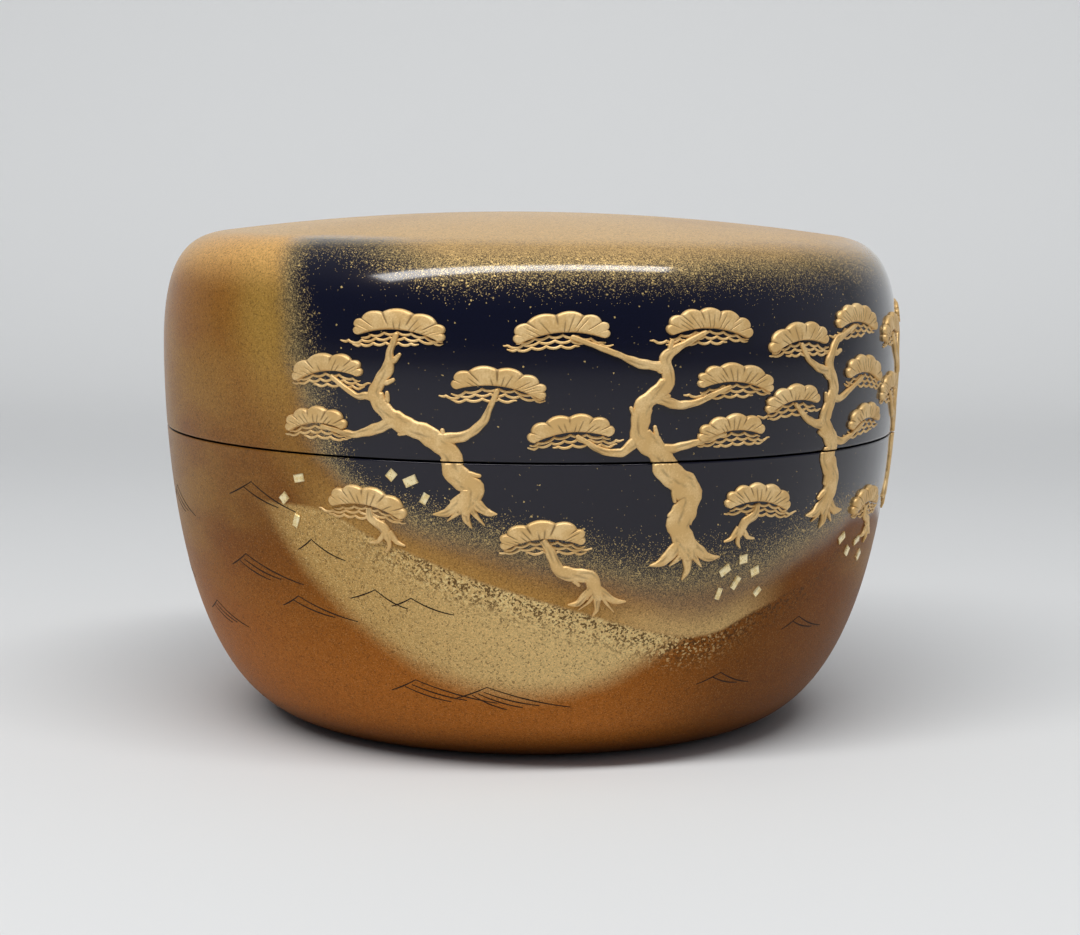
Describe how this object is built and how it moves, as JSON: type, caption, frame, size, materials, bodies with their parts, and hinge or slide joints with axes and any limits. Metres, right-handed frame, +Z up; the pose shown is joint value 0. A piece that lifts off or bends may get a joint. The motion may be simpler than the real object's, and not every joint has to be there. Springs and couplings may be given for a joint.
{
  "type": "tea caddy",
  "caption": "Low round lacquered tea caddy with a lift-off domed lid on a standing inner rim, and raised gold pine trees with cut-gold squares on a gold-dusted wall.",
  "frame": {"origin": "centre of the foot, on the surface it stands on", "axes": "+Z up along the turning axis, the decorated front faces -Y"},
  "size_m": [0.0825, 0.0825, 0.056],
  "materials": {
    "lacquered_wood": "gloss black lacquer with sprinkled gold",
    "raised_gold": "satin gold powder on raised lacquer",
    "cut_gold": "polished laid foil"
  },
  "bodies": {
    "body": {"body": "lacquered_wood", "body_trunk_1": "raised_gold", "body_trunk_2": "raised_gold", "body_trunk_3": "raised_gold", "body_trunk_4": "raised_gold", "body_trunk_5": "raised_gold", "body_tuft_1": "raised_gold", "body_tuft_2": "raised_gold", "body_tuft_3": "raised_gold", "body_tuft_4": "raised_gold", "cut_gold_1": "cut_gold", "cut_gold_2": "cut_gold", "cut_gold_3": "cut_gold", "cut_gold_4": "cut_gold", "cut_gold_5": "cut_gold", "cut_gold_6": "cut_gold", "cut_gold_7": "cut_gold", "cut_gold_8": "cut_gold", "cut_gold_9": "cut_gold", "cut_gold_10": "cut_gold", "cut_gold_11": "cut_gold", "cut_gold_12": "cut_gold", "cut_gold_13": "cut_gold", "cut_gold_14": "cut_gold", "cut_gold_15": "cut_gold", "cut_gold_16": "cut_gold"},
    "lid": {"lid": "lacquered_wood", "lid_trunk_1": "raised_gold", "lid_trunk_2": "raised_gold", "lid_trunk_3": "raised_gold", "lid_trunk_4": "raised_gold", "lid_tuft_1": "raised_gold", "lid_tuft_2": "raised_gold", "lid_tuft_3": "raised_gold", "lid_tuft_4": "raised_gold", "lid_tuft_5": "raised_gold", "lid_tuft_6": "raised_gold", "lid_tuft_7": "raised_gold", "lid_tuft_8": "raised_gold", "lid_tuft_9": "raised_gold", "lid_tuft_10": "raised_gold", "lid_tuft_11": "raised_gold", "lid_tuft_12": "raised_gold", "lid_tuft_13": "raised_gold", "lid_tuft_14": "raised_gold", "lid_tuft_15": "raised_gold", "lid_tuft_16": "raised_gold", "lid_tuft_17": "raised_gold", "lid_tuft_18": "raised_gold"}
  },
  "joints": [
    {"name": "lid_lift", "type": "slide", "parent": "body", "child": "lid", "axis": [0, 0, 1], "range_m": [0, 0.06]}
  ]
}
